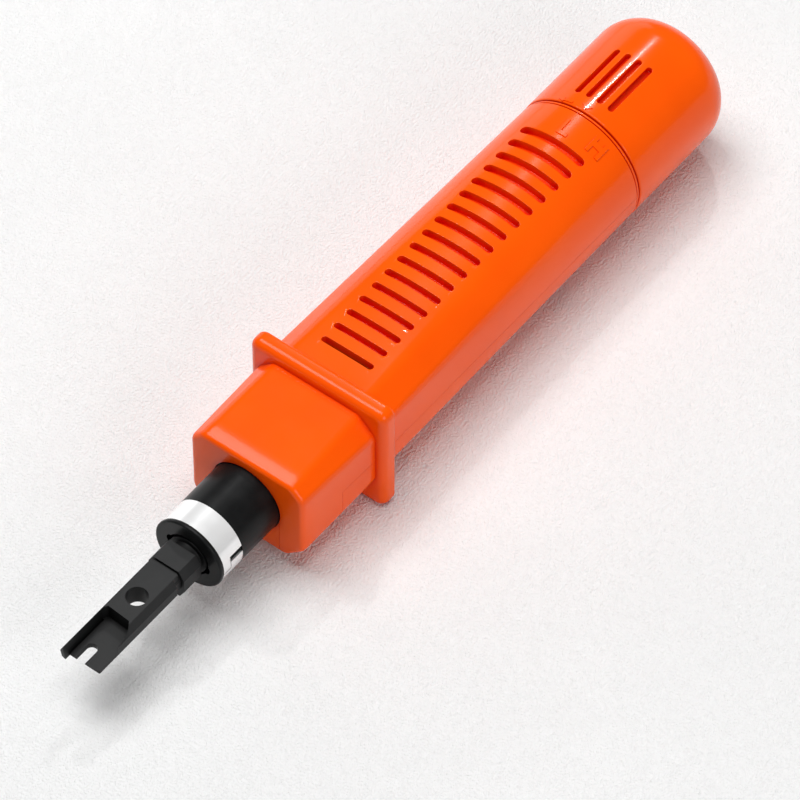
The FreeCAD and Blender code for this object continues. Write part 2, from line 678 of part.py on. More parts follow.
def blade():
    """Reversible punch-down blade: lugged shank, waist, and a slotted cutting end."""
    shank_round = cylinder_x(SHANK_R, SHANK_REAR_X, NECK_X[0])
    neck = cylinder_x(NECK_R, NECK_X[0] - 0.5, NECK_X[1] + 0.5)
    shank_block = eight_sided_bar(SHANK_OUTLINE, NECK_X[1], SHANK_FRONT_X)
    waist = eight_sided_bar(WAIST_OUTLINE, SHANK_FRONT_X - 0.5, BLADE_REAR_X + 0.5)
    body = eight_sided_bar(BLADE_OUTLINE, BLADE_REAR_X, TIP_X)
    top_y, top_z = BLADE_OUTLINE[0]
    web = block((WEB_REAR_X, BLADE_REAR_X + 0.5), (-top_y, top_y), (0, top_z))
    lugs = turned(round_ended_bar(LUG, 53.5, 54.8), KEYHOLE_ANGLE + 90)
    solid = fuse_all([shank_round, neck, shank_block, waist, body, web, lugs])
    ball_groove = tube_x(3.6, 5.0, 50.4, 52.8)
    hole = Part.makeCylinder(BLADE_HOLE_R, 12, V(*BLADE_HOLE, -6))
    return biggest(cut_all(solid, [ball_groove, hole] + blade_pocket_tools() + blade_end_tools()))


# --------------------------------------------------------------------------- export
def build():
    """Every sub-part by node name."""
    upper, lower = handle_shells()
    return {
        "upper_shell": upper,
        "lower_shell": lower,
        "hand_guard": hand_guard(),
        "seam_ring": seam_ring(),
        "housing_screws": housing_screws(),
        "front_bushing": front_bushing(),
        "guide_tube": guide_tube(),
        "stop_washer": stop_washer(),
        "trip_ramp": trip_ramp(),
        "detent_leaf": detent_leaf(),
        "main_spring": helix_spring(5.3, 0.85, SEAT_X[1], HAMMER_REAR_X, 6),
        "return_spring": helix_spring(3.4, 0.4, WASHER_X[1], 22.0, 8),
        "collar": collar(),
        "collar_pin": collar_pin(),
        "retaining_band": retaining_band(),
        "retention_ball": retention_ball(),
        "rim_plate": rim_plate(),
        "anvil_rod": anvil_rod(),
        "blade": blade(),
        "hammer": hammer(),
        "latch_plate": latch_plate(),
        "latch_spring": latch_spring(),
        "adjuster_cap": adjuster_cap(),
        "cam_sleeve": cam_sleeve(),
        "spring_seat": spring_seat(),
        "cam_pin": cam_pin(),
    }


os.makedirs("parts", exist_ok=True)
for name, shape in build().items():
    placed = moved(shape, V(0, 0, AXIS_Z))
    placed.exportStep("parts/" + name + ".step")
    box = placed.BoundBox
    print(name, len(placed.Solids), placed.isValid(), round(placed.Volume, 1),
          [round(v, 2) for v in (box.XMin, box.XMax, box.YMin, box.YMax, box.ZMin, box.ZMax)])
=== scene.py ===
import math

import bmesh
import bpy
import numpy as np
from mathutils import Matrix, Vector


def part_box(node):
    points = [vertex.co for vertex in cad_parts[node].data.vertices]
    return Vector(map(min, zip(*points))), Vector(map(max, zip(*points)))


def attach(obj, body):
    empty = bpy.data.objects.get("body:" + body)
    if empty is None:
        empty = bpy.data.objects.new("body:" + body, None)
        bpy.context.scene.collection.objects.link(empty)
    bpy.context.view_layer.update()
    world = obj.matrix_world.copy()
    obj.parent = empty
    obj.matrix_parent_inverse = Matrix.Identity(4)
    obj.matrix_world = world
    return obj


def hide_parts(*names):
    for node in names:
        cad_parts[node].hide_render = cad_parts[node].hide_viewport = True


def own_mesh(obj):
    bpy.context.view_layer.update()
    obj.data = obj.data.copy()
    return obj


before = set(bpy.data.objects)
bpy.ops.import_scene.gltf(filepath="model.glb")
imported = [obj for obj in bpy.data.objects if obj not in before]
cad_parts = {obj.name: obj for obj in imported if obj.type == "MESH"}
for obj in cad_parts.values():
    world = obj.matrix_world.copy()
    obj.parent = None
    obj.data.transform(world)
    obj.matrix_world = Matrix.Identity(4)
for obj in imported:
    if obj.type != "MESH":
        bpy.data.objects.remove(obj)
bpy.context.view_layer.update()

# Impact punch-down tool.  Metres, in the CAD frame: blade towards +X, grip slots up.
MM = 0.001

# ---------------------------------------------------------------- driving dimensions
guard_lo, guard_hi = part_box("hand_guard")
cap_lo, cap_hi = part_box("adjuster_cap")
ring_lo, ring_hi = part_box("seam_ring")

REAR_R = (cap_hi.y - cap_lo.y) / 2
AXIS_Z = cap_lo.z + REAR_R
CAP_FRONT_X = cap_hi.x
CAP_END_X = cap_lo.x
BODY_REAR_X = ring_hi.x
GUARD_REAR_X = guard_lo.x
GUARD_FRONT_X = guard_hi.x
NOSE_FRONT_X = 40.0 * MM
BOSS_END_X = -63.5 * MM

# corners of the eight-sided outlines: (half width, height) above and below the axis
NOSE_FRONT_OUTLINE = ((9.8, 9.6), (12.4, 7.0), (12.4, -6.6), (8.4, -10.6))
NOSE_REAR_OUTLINE = ((9.2, 10.4), (13.1, 6.5), (13.1, -5.2), (7.8, -11.2))
BODY_FRONT_OUTLINE = ((8.7, 11.3), (13.1, 7.5), (13.1, -4.6), (8.0, -11.3))
REAR_CORNER_ANGLES = (59.0, 31.8, -21.0, -56.0)

SLOT_COUNT = 17
SLOT_FIRST_X = 11.6 * MM
SLOT_PITCH = 3.69 * MM
SLOT_HALF_LEN = (5.6 * MM, 6.9 * MM)
SLOT_WIDTH = (1.25 * MM, 1.75 * MM)
SLOT_DEPTH = 1.8 * MM
SLOT_RIM = 0.06 * MM                 # rounding of a slot's mouth

CAP_SLOT_ANGLES = (74.4, 84.8, 95.2, 105.6)
CAP_SLOT_X = (-71.6 - 60.1) / 2 * MM
CAP_SLOT_SIZE = (6.37 * MM, 0.61 * MM, 1.32 * MM)    # half length, half width, depth

# --------------------------------------------------------------------- cross sections
SIDE_SAMPLES = 200
FINE_STEP = 0.13 * MM
FINE_REACH = 2.1 * MM
COARSE_STEP = 1.0 * MM
SKIN_INSET = 0.025 * MM              # keeps the softened skin just inside the CAD solid
BODY_SOFT = (2.4 * MM, 3.4 * MM)     # corner softness of the handle, front and rear
NOSE_SOFT = 2.1 * MM


def lerp(a, b, share):
    return a + (b - a) * share


def flat_outline(half):
    """Dense eight-sided outline from its four corners on the +Y side."""
    right = [(y * MM, z * MM) for y, z in half]
    corners = np.array(right + [(-y, z) for y, z in reversed(right)])
    share = np.linspace(0, 1, SIDE_SAMPLES, endpoint=False)[:, None]
    return np.concatenate([lerp(a, b, share) for a, b in zip(corners, np.roll(corners, -1, axis=0))])


def round_outline(radius):
    """Dense circle whose eight arcs match the sides of the eight-sided outlines."""
    right = list(REAR_CORNER_ANGLES)
    corners = np.array(right + [-180 - a for a in reversed(right)] + [right[0] - 360])
    share = np.linspace(0, 1, SIDE_SAMPLES, endpoint=False)
    angles = np.radians(np.concatenate([lerp(a, b, share) for a, b in zip(corners, corners[1:])]))
    return np.stack([radius * np.cos(angles), radius * np.sin(angles)], axis=1)


def softened(points, width):
    """Outline averaged over a sliding width, which rounds its corners."""
    closed = np.concatenate([points, points[:1]])
    step = np.hypot(*np.diff(closed, axis=0).T)
    length = np.concatenate([[0], np.cumsum(step)])
    total = length[-1]
    middle = (closed[1:] + closed[:-1]) / 2 * step[:, None]
    area = np.concatenate([[[0, 0]], np.cumsum(middle, axis=0)])

    def running(s):
        turns = np.floor(s / total)
        inside = s - turns * total
        value = np.stack([np.interp(inside, length, area[:, k]) for k in (0, 1)], axis=1)
        return value + turns[:, None] * area[-1]

    s = length[:-1]
    return (running(s + width / 2) - running(s - width / 2)) / width


def inset_outline(points, inset):
    """Outline moved inwards along its normals."""
    tangent = np.roll(points, -1, axis=0) - np.roll(points, 1, axis=0)
    tangent /= np.hypot(tangent[:, 0], tangent[:, 1])[:, None]
    normal = np.stack([tangent[:, 1], -tangent[:, 0]], axis=1)
    outward = np.sign((normal * points).sum(axis=1))[:, None]
    return points - normal * outward * inset


BODY_FRONT = flat_outline(BODY_FRONT_OUTLINE)
BODY_REAR = round_outline(REAR_R)
NOSE_REAR = flat_outline(NOSE_REAR_OUTLINE)
NOSE_FRONT = flat_outline(NOSE_FRONT_OUTLINE)


def body_outline(x, inset=SKIN_INSET):
    """Handle outline behind the guard at station x."""
    share = (GUARD_REAR_X - x) / (GUARD_REAR_X - BODY_REAR_X)
    outline = softened(lerp(BODY_FRONT, BODY_REAR, share), lerp(*BODY_SOFT, share))
    return inset_outline(outline, inset)


def nose_outline(x, inset=SKIN_INSET):
    """Nose outline at station x."""
    share = (x - GUARD_REAR_X) / (NOSE_FRONT_X - GUARD_REAR_X)
    return inset_outline(softened(lerp(NOSE_REAR, NOSE_FRONT, share), NOSE_SOFT), inset)


def ring_indices():
    """Outline points kept for a ring: close together near the corners, wide apart between."""
    kept = []
    for side in range(8):
        start = BODY_FRONT[side * SIDE_SAMPLES]
        end = BODY_FRONT[(side + 1) * SIDE_SAMPLES % len(BODY_FRONT)]
        length = math.dist(start, end)
        reach = min(FINE_REACH, length / 2)
        near = list(np.arange(0, reach, FINE_STEP))
        middle = list(np.linspace(reach, length - reach, 1 + math.ceil((length - 2 * reach) / COARSE_STEP)))
        places = sorted(set(near + middle + [length - d for d in near[1:]]))
        indices = sorted({round(p / length * SIDE_SAMPLES) for p in places})
        kept += [side * SIDE_SAMPLES + i for i in indices if i < SIDE_SAMPLES]
    return np.array(kept)


RING = ring_indices()


def ring_points(x, outline):
    """One ring of a loft about the tool axis."""
    return [Vector((x, y, AXIS_Z + z)) for y, z in outline[RING]]


def at_angle(outline, angle):
    """Radius of an outline at one angle about the axis."""
    own = np.arctan2(outline[:, 1], outline[:, 0])
    order = np.argsort(own)
    radius = np.hypot(outline[:, 0], outline[:, 1])
    return float(np.interp(angle, own[order], radius[order], period=2 * np.pi))


# --------------------------------------------------------------------- mesh building
def new_object(name, vertices, faces):
    """Mesh object from vertex and face lists, normals outwards."""
    mesh = bpy.data.meshes.new(name)
    mesh.from_pydata([tuple(v) for v in vertices], [], faces)
    bm = bmesh.new()
    bm.from_mesh(mesh)
    bmesh.ops.remove_doubles(bm, verts=bm.verts, dist=1e-7)
    bmesh.ops.recalc_face_normals(bm, faces=bm.faces)
    bm.to_mesh(mesh)
    bm.free()
    obj = bpy.data.objects.new(name, mesh)
    bpy.context.scene.collection.objects.link(obj)
    return obj


def side_faces(rings):
    """Quads between neighbouring rings that have the same number of points."""
    count = len(rings[0])
    faces = []
    for k in range(len(rings) - 1):
        for i in range(count):
            j = (i + 1) % count
            faces.append((k * count + i, k * count + j, (k + 1) * count + j, (k + 1) * count + i))
    return faces


def loft(name, rings):
    """Closed skin through rings that have the same number of points."""
    count = len(rings[0])
    last = (len(rings) - 1) * count
    faces = side_faces(rings)
    faces.append(tuple(range(count)))
    faces.append(tuple(last + i for i in reversed(range(count))))
    return new_object(name, [p for ring in rings for p in ring], faces)


def rounded_profile(points, steps=5):
    """Profile (x, r) with the corner at each point rounded by its third number."""
    result = []
    count = len(points)
    for i, (x, r, fillet) in enumerate(points):
        here = Vector((x, r))
        if fillet <= 0:
            result.append(here)
            continue
        before = (Vector(points[i - 1][:2]) - here).normalized()
        after = (Vector(points[(i + 1) % count][:2]) - here).normalized()
        angle = before.angle(after)
        reach = fillet / math.tan(angle / 2)
        centre = here + (before + after).normalized() * (fillet / math.sin(angle / 2))
        start = here + before * reach - centre
        end = here + after * reach - centre
        for k in range(steps + 1):
            blended = start.slerp(end, k / steps, start)
            result.append(centre + blended.normalized() * fillet)
    return result


def revolve(name, points, segments=144, closed=True):
    """Solid of revolution about the tool axis from a profile in millimetres."""
    profile = rounded_profile([(x * MM, r * MM, f * MM) for x, r, f in points])
    vertices = []
    for i in range(segments):
        angle = 2 * math.pi * i / segments
        for p in profile:
            radius = max(p.y, 0.0)
            vertices.append((p.x, radius * math.cos(angle), AXIS_Z + radius * math.sin(angle)))
    count = len(profile)
    faces = []
    for i in range(segments):
        j = (i + 1) % segments
        for k in range(count if closed else count - 1):
            m = (k + 1) % count
            if profile[k].y <= 1e-9 and profile[m].y <= 1e-9:
                continue
            faces.append((i * count + k, j * count + k, j * count + m, i * count + m))
    obj = new_object(name, vertices, faces)
    bm = bmesh.new()
    bm.from_mesh(obj.data)
    bmesh.ops.dissolve_degenerate(bm, edges=bm.edges, dist=1e-7)
    bmesh.ops.recalc_face_normals(bm, faces=bm.faces)
    bm.to_mesh(obj.data)
    bm.free()
    return obj


def box_object(x, y, z):
    """Box between limits in millimetres, Y and Z about the tool axis."""
    corners = [Vector((a * MM, b * MM, AXIS_Z + c * MM)) for a in x for b in y for c in z]
    faces = [(0, 1, 3, 2), (4, 6, 7, 5), (0, 4, 5, 1), (2, 3, 7, 6), (0, 2, 6, 4), (1, 5, 7, 3)]
    return new_object("box", corners, faces)


def combine(target, tools, operation):
    """Boolean of a target with each tool in turn; the tools are used up."""
    for tool in tools:
        modifier = target.modifiers.new("cut", "BOOLEAN")
        modifier.operation = operation
        modifier.solver = "EXACT"
        modifier.object = tool
        evaluated = target.evaluated_get(bpy.context.evaluated_depsgraph_get())
        mesh = bpy.data.meshes.new_from_object(evaluated)
        target.modifiers.clear()
        old = target.data
        target.data = mesh
        bpy.data.meshes.remove(old)
    for tool in tools:
        bpy.data.objects.remove(tool)
    return target


def cut(target, *tools):
    return combine(target, tools, "DIFFERENCE")


def add(target, *tools):
    return combine(target, tools, "UNION")


def keep_inside(target, tool):
    return combine(target, [tool], "INTERSECT")


def copy_of(obj):
    """Independent copy of an object and its mesh."""
    twin = obj.copy()
    twin.data = obj.data.copy()
    bpy.context.scene.collection.objects.link(twin)
    return twin


def join(name, parts):
    """One object from the meshes of several."""
    bm = bmesh.new()
    for part in parts:
        bm.from_mesh(part.data)
        bpy.data.objects.remove(part)
    mesh = bpy.data.meshes.new(name)
    bm.to_mesh(mesh)
    bm.free()
    obj = bpy.data.objects.new(name, mesh)
    bpy.context.scene.collection.objects.link(obj)
    return obj


def shade(obj, degrees=32):
    """Smooth shading that keeps edges sharper than an angle crisp."""
    obj.data.shade_smooth()
    bm = bmesh.new()
    bm.from_mesh(obj.data)
    limit = math.radians(degrees)
    for edge in bm.edges:
        edge.smooth = len(edge.link_faces) == 2 and edge.calc_face_angle(0) < limit
    bm.to_mesh(obj.data)
    bm.free()
    return obj


# ---------------------------------------------------------------------- groove tools
CUTTER_RISE = 0.35 * MM              # how far a groove cutter stands out of the skin


def groove_tool(half_len, half_width, depth, rim, place, steps=10, straight=14):
    """Cutter for a round-ended groove.  place(u, v, h) gives the point u along the groove,
    v across it and h above the skin; rim is the rounding of its mouth."""
    reach = half_len - half_width
    ends = [math.pi / 2 * k / steps for k in range(steps + 1)]
    spine = [(-reach - half_width * math.cos(a), math.sin(a)) for a in ends]
    spine += [(lerp(-reach, reach, k / straight), 1.0) for k in range(1, straight)]
    spine += [(reach + half_width * math.sin(a), math.cos(a)) for a in ends]
    turns = [math.pi / 2 * k / 4 for k in range(5)]
    levels = [(rim, CUTTER_RISE)]
    levels += [(rim - rim * math.sin(a), -rim + rim * math.cos(a)) for a in turns]
    levels.append((0.0, -depth + rim))
    levels += [(-rim + rim * math.cos(a), -depth + rim - rim * math.sin(a)) for a in turns[1:]]
    rings = []
    for grow, height in levels:
        scale_u = (half_len + grow) / half_len
        side = [(u * scale_u if abs(u) > reach else u, w * (half_width + grow)) for u, w in spine]
        loop = side + [(u, -v) for u, v in reversed(side[1:-1])]
        rings.append([place(u, v, height) for u, v in loop])
    count = len(rings[0])
    faces = side_faces(rings)
    last = len(spine) - 1
    for base in (0, (len(rings) - 1) * count):
        for i in range(last):
            row = [base + i, base + i + 1]
            mirror = [base + (count - i - 1) % count if i + 1 < last else None, base + (count - i) % count]
            face = row + [m for m in mirror if m is not None and m not in row]
            faces.append(tuple(face) if base else tuple(reversed(face)))
    return new_object("groove", [p for ring in rings for p in ring], faces)


MARK_RISE = 0.2               # height of the raised marks, in millimetres
MARK_EASE = 0.05              # bevel round their top
MARK_ROOT = -0.6              # depth of their foot below the skin


def raised_shape(sections, place):
    """Low raised shape from sections (v, u_from, u_to) in millimetres, laid out by place."""
    rise, ease = MARK_RISE, MARK_EASE
    stations = [(sections[0], rise - ease), (sections[0], rise)] + [(s, rise) for s in sections[1:-1]]
    stations += [(sections[-1], rise), (sections[-1], rise - ease)]
    rings = []
    for k, ((v, u_from, u_to), top) in enumerate(stations):
        shift = {1: ease, len(stations) - 2: -ease}.get(k, 0.0)
        profile = [(u_from, MARK_ROOT), (u_from, top - ease), (u_from + ease, top),
                   (u_to - ease, top), (u_to, top - ease), (u_to, MARK_ROOT)]
        rings.append([place(u * MM, (v + shift) * MM, h * MM) for u, h in profile])
    return loft("raised", rings)


def slot_place(x):
    """Placement for a cross slot on top of the handle at station x."""
    outline = body_outline(x)
    top = outline[outline[:, 1] > 0]
    order = np.argsort(top[:, 0])
    y_sorted, z_sorted = top[order, 0], top[order, 1]

    def place(u, v, height):
        return Vector((x + v, u, AXIS_Z + float(np.interp(u, y_sorted, z_sorted)) + height))

    return place


def skin_place(x, degrees, outline_at):
    """Placement at an angle round the tool, u along the axis from station x."""
    centre = math.radians(degrees)

    def place(u, v, height):
        outline = outline_at(x + u)
        angle = centre + v / at_angle(outline, centre)
        radius = at_angle(outline, angle) + height
        return Vector((x + u, radius * math.cos(angle), AXIS_Z + radius * math.sin(angle)))

    return place


# ------------------------------------------------------------------------ CAD copies
def cad_copy(node, name):
    """Welded copy of a CAD node's mesh, for a piece that replaces the node."""
    bm = bmesh.new()
    bm.from_mesh(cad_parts[node].data)
    bmesh.ops.remove_doubles(bm, verts=bm.verts, dist=2e-6)
    mesh = bpy.data.meshes.new(name)
    bm.to_mesh(mesh)
    bm.free()
    obj = bpy.data.objects.new(name, mesh)
    bpy.context.scene.collection.objects.link(obj)
    return obj


def eased(obj, width, segments=2, angle=32, flat=0.6):
    """Merge flat facets, then round every sharp edge by a small width in millimetres."""
    bm = bmesh.new()
    bm.from_mesh(obj.data)
    bmesh.ops.dissolve_limit(bm, angle_limit=math.radians(flat), verts=bm.verts, edges=bm.edges)
    bm.to_mesh(obj.data)
    bm.free()
    obj.data.shade_smooth()
    modifier = obj.modifiers.new("edges", "BEVEL")
    modifier.width = width * MM
    modifier.segments = segments
    modifier.limit_method = "ANGLE"
    modifier.angle_limit = math.radians(angle)
    modifier.miter_outer = "MITER_ARC"
    weighted = obj.modifiers.new("normals", "WEIGHTED_NORMAL")
    weighted.mode = "FACE_AREA"
    weighted.keep_sharp = True
    return obj


def finished(obj, node, body, slot, material):
    """Ride on a body, stand for a CAD node and take a finish."""
    obj.data.materials.clear()
    obj.data.materials.append(material)
    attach(obj, body)
    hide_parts(node)
    return obj


# --------------------------------------------------------------------- handle shells
CAD_CLEARANCE = 0.02          # how far a cutter reaches past the same cut in the CAD solid
SPLIT_GAP = 0.035             # half the gap at the parting line
NOSE_STEP_X = 29.3            # where the parting line steps down the nose
TONGUE_HALF = 7.1             # half width of the lower shell's tongue under the nose
MARK_ANGLES = (90.0, 62.0)    # light and heavy settings


def shell_skin():
    """Outside of both shells with softened corners: boss, handle and nose in one skin."""
    boss = round_outline(10.78 * MM)
    rings = [ring_points(BOSS_END_X + SKIN_INSET, boss), ring_points(BODY_REAR_X + SKIN_INSET, boss)]
    for x in np.linspace(BODY_REAR_X + SKIN_INSET, GUARD_REAR_X - 0.05 * MM, 40):
        rings.append(ring_points(x, body_outline(x)))
    front = NOSE_FRONT_X - SKIN_INSET
    for x in np.linspace(GUARD_REAR_X, front - 1.1 * MM, 8):
        rings.append(ring_points(x, nose_outline(x)))
    edge = 1.0 * MM
    for k in range(6):
        turn = math.pi / 2 * k / 5
        inset = SKIN_INSET + edge * (1 - math.cos(turn))
        rings.append(ring_points(front - edge * (1 - math.sin(turn)), nose_outline(front, inset)))
    return loft("skin", rings)


def grip_slots():
    """Cutters for the row of cross slots on top of the handle."""
    tools = []
    for i in range(SLOT_COUNT):
        share = i / (SLOT_COUNT - 1)
        half_len = lerp(*SLOT_HALF_LEN, share) + CAD_CLEARANCE * MM
        half_width = lerp(*SLOT_WIDTH, share) / 2 + CAD_CLEARANCE * MM
        place = slot_place(SLOT_FIRST_X - i * SLOT_PITCH)
        tools.append(groove_tool(half_len, half_width, SLOT_DEPTH + 0.05 * MM, SLOT_RIM, place))
    return tools


def bar(v_from, v_to, u_from, u_to):
    """Sections of a straight raised bar that follows the curve of the skin."""
    return [(v, u_from, u_to) for v in np.linspace(v_from, v_to, 5)]


def setting_marks():
    """Raised settings: an L for the light blow and an H for the heavy one."""
    light, heavy = MARK_ANGLES
    shapes = [(light, bar(0.19, 0.82, -53.2, -49.5)), (light, bar(-1.34, 0.8, -50.3, -49.48)),
              (heavy, bar(0.52, 1.29, -53.7, -50.05)), (heavy, bar(-1.88, -1.01, -53.7, -50.05)),
              (heavy, bar(-1.86, 1.27, -52.87, -51.62))]
    solids = []
    for degrees, sections in shapes:
        place = skin_place(0.0, degrees, body_outline)
        solids.append(raised_shape(sections, place))
    return solids


def parting_gap():
    """Thin slabs along the surface between the two shells."""
    gap = SPLIT_GAP
    return [
        box_object((-64, NOSE_STEP_X + gap), (-20, 20), (-gap, gap)),
        box_object((NOSE_STEP_X - gap, 41), (-TONGUE_HALF - gap, TONGUE_HALF + gap), (-gap, gap)),
        box_object((NOSE_STEP_X - gap, NOSE_STEP_X + gap), (TONGUE_HALF - gap, 20), (-20, gap)),
        box_object((NOSE_STEP_X - gap, NOSE_STEP_X + gap), (-20, gap - TONGUE_HALF), (-20, gap)),
        box_object((NOSE_STEP_X - gap, 41), (TONGUE_HALF - gap, TONGUE_HALF + gap), (-20, gap)),
        box_object((NOSE_STEP_X - gap, 41), (-TONGUE_HALF - gap, gap - TONGUE_HALF), (-20, gap)),
    ]


skin = shell_skin()
upper = cad_copy("upper_shell", "upper_shell_skin")
keep_inside(upper, copy_of(skin))
cut(upper, *parting_gap())
cut(upper, join("slots", grip_slots()))
add(upper, *setting_marks())
lower = cad_copy("lower_shell", "lower_shell_skin")
keep_inside(lower, skin)
cut(lower, *parting_gap())
shade(upper)
shade(lower)


# ------------------------------------------------------------------ guard, ring, cap
GUARD_CORNER = 2.0 * MM
GUARD_EDGES = ((GUARD_REAR_X, 0.88 * MM), (GUARD_FRONT_X, -1.58 * MM))


def guard_ring(x, inset, per_corner=14, per_side=10):
    """Rounded rectangle of the guard at station x, drawn in by an inset."""
    half_w = (guard_hi.y - guard_lo.y) / 2 - inset
    half_h = (guard_hi.z - guard_lo.z) / 2 - inset
    radius = GUARD_CORNER - inset
    points = []
    for sy, sz, first in ((1, 1, 0), (-1, 1, 90), (-1, -1, 180), (1, -1, 270)):
        centre = Vector((sy * (half_w - radius), sz * (half_h - radius)))
        arc = []
        for k in range(per_corner + 1):
            angle = math.radians(first + 90 * k / per_corner)
            arc.append(centre + Vector((math.cos(angle), math.sin(angle))) * radius)
        if points:
            points += [points[-1].lerp(arc[0], k / per_side) for k in range(1, per_side)]
        points += arc
    points += [points[-1].lerp(points[0], k / per_side) for k in range(1, per_side)]
    return [Vector((x, p.x, AXIS_Z + p.y)) for p in points]


def guard_plate():
    """Flange with rounded edges, before the nose is taken out of it."""
    rings = []
    for x, edge in GUARD_EDGES:
        half = []
        for k in range(10):
            turn = math.pi / 2 * k / 9
            half.append(guard_ring(x + edge * (1 - math.cos(turn)), abs(edge) * (1 - math.sin(turn))))
        rings += half if edge > 0 else half[::-1]
    return loft("guard_plate", rings)


def nose_core(inset):
    """Nose form used to open the guard."""
    stations = np.linspace(GUARD_REAR_X - 1 * MM, GUARD_FRONT_X + 1 * MM, 6)
    return loft("nose_core", [ring_points(x, nose_outline(x, inset)) for x in stations])


OPENING_EASE = 0.03 * MM             # clearance between the guard and the nose skin
guard = cut(guard_plate(), nose_core(SKIN_INSET - OPENING_EASE))
shade(guard)

rear_x, front_x = ring_lo.x / MM, ring_hi.x / MM
seam = revolve("seam_ring_bevelled", [
    (rear_x, 10.85, 0), (rear_x, 12.8, 0.05), (rear_x + 0.05, 12.8, 0), (rear_x + 0.05, 13.35, 0.16),
    (front_x - 0.3, 13.35, 0.16), (front_x - 0.3, 12.8, 0), (front_x, 12.8, 0.05), (front_x, 10.85, 0)], 192)
shade(seam)


def cap_skin():
    """Outside of the cap: rounded rim at the front, domed end with a slight crown."""
    front = CAP_FRONT_X / MM - 0.02
    end = CAP_END_X / MM + 0.02
    radius = REAR_R / MM - 0.02
    dome = 7.5
    profile = [(front, 0.0), (front, radius - 0.3)]
    for k in range(1, 7):
        turn = math.pi / 2 * k / 6
        profile.append((front - 0.3 * (1 - math.cos(turn)), radius - 0.3 * (1 - math.sin(turn))))
    for x in np.linspace(front - 1.0, end + dome, 20):
        profile.append((x, radius))
    for k in range(1, 25):
        turn = math.pi / 2 * k / 24
        profile.append((end + dome * (1 - math.sin(turn)), radius - dome * (1 - math.cos(turn))))
    for r in (5.0, 4.0, 3.0, 2.0, 1.0):
        profile.append((end, r))
    profile.append((end, 0.0))
    return revolve("cap_skin", [(x, r, 0) for x, r in profile], 192, closed=False)


CAP_CIRCLE = round_outline(REAR_R - 0.02 * MM)


def cap_outline(x):
    """Cap outline, the same at every station x of its straight part."""
    return CAP_CIRCLE


def cap_marks():
    """Raised setting pointer and turn arrow of the cap."""
    pointer = [(-1.06, -57.86, -57.6), (-0.53, -57.86, -57.2), (0.0, -57.86, -56.5),
               (0.53, -57.86, -57.2), (1.06, -57.86, -57.6)]
    head = [(0.3, -57.4, -56.3), (0.9, -57.1, -56.55), (1.55, -56.95, -56.75)]
    shaft = bar(-1.6, 0.35, -57.1, -56.6)
    return [raised_shape(pointer, skin_place(0.0, 89.3, cap_outline)),
            raised_shape(shaft, skin_place(0.0, 107.5, cap_outline)),
            raised_shape(head, skin_place(0.0, 107.5, cap_outline))]


def cap_tools():
    """Cutters for the grip slots of the cap."""
    tools = []
    for degrees in CAP_SLOT_ANGLES:
        place = skin_place(CAP_SLOT_X, degrees, cap_outline)
        tools.append(groove_tool(*CAP_SLOT_SIZE, SLOT_RIM, place, straight=10))
    return tools


cap = cad_copy("adjuster_cap", "adjuster_cap_skin")
keep_inside(cap, cap_skin())
cut(cap, *cap_tools())
add(cap, *cap_marks())
shade(cap)

# ------------------------------------------------------------- chuck and blade
# the wide part of the band's gap is opened further, so that it reads as dark from above
BAND_GAP = ((49, 53.2), (5, 9), (0.6, 1.85))
band = cad_copy("retaining_band", "retaining_band_eased")
cut(band, box_object(*BAND_GAP))
eased(band, 0.07)
rim = eased(cad_copy("rim_plate", "rim_plate_eased"), 0.08)
blade = eased(cad_copy("blade", "blade_eased"), 0.05, 2, 20)
collar = eased(cad_copy("collar", "collar_eased"), 0.12)

# -------------------------------------------------------------------------- materials
def node_tree(name):
    """New material with its node tree, shader and object coordinates in millimetres."""
    material = bpy.data.materials.new(name)
    material.use_nodes = True
    tree = material.node_tree
    shader = tree.nodes["Principled BSDF"]
    coordinates = tree.nodes.new("ShaderNodeTexCoord")
    scale = tree.nodes.new("ShaderNodeVectorMath")
    scale.operation = "SCALE"
    scale.inputs["Scale"].default_value = 1000.0
    tree.links.new(coordinates.outputs["Object"], scale.inputs[0])
    return material, tree, shader, scale.outputs[0]


def noise(tree, vector, scale, detail=3.0, roughness=0.5, stretch=(1, 1, 1)):
    """Noise over millimetre coordinates; scale is features per millimetre."""
    mapping = tree.nodes.new("ShaderNodeMapping")
    mapping.inputs["Scale"].default_value = stretch
    tree.links.new(vector, mapping.inputs["Vector"])
    texture = tree.nodes.new("ShaderNodeTexNoise")
    texture.inputs["Scale"].default_value = scale
    texture.inputs["Detail"].default_value = detail
    texture.inputs["Roughness"].default_value = roughness
    tree.links.new(mapping.outputs["Vector"], texture.inputs["Vector"])
    return texture.outputs["Fac"]


def ramp(tree, value, stops):
    """Colour ramp through (position, colour) stops."""
    node = tree.nodes.new("ShaderNodeValToRGB")
    elements = node.color_ramp.elements
    while len(elements) < len(stops):
        elements.new(0.5)
    for element, (position, colour) in zip(elements, stops):
        element.position = position
        element.color = (*colour, 1.0)
    tree.links.new(value, node.inputs["Fac"])
    return node.outputs["Color"]


def remap(tree, value, low, high):
    """Value stretched from 0..1 to low..high."""
    node = tree.nodes.new("ShaderNodeMapRange")
    node.inputs["To Min"].default_value = low
    node.inputs["To Max"].default_value = high
    tree.links.new(value, node.inputs["Value"])
    return node.outputs["Result"]


def bump(tree, height, depth_mm, under=None):
    """Normal from a height field whose full range is depth_mm."""
    node = tree.nodes.new("ShaderNodeBump")
    node.inputs["Strength"].default_value = 1.0
    node.inputs["Distance"].default_value = depth_mm * MM
    tree.links.new(height, node.inputs["Height"])
    if under is not None:
        tree.links.new(under, node.inputs["Normal"])
    return node.outputs["Normal"]


# painted shade: ambient-occlusion share at which the shade colour is full, and at which it is gone
PAINTED_SHADE_RANGE = (0.3, 0.8)     # open share at which a spot counts as fully recessed, and as open


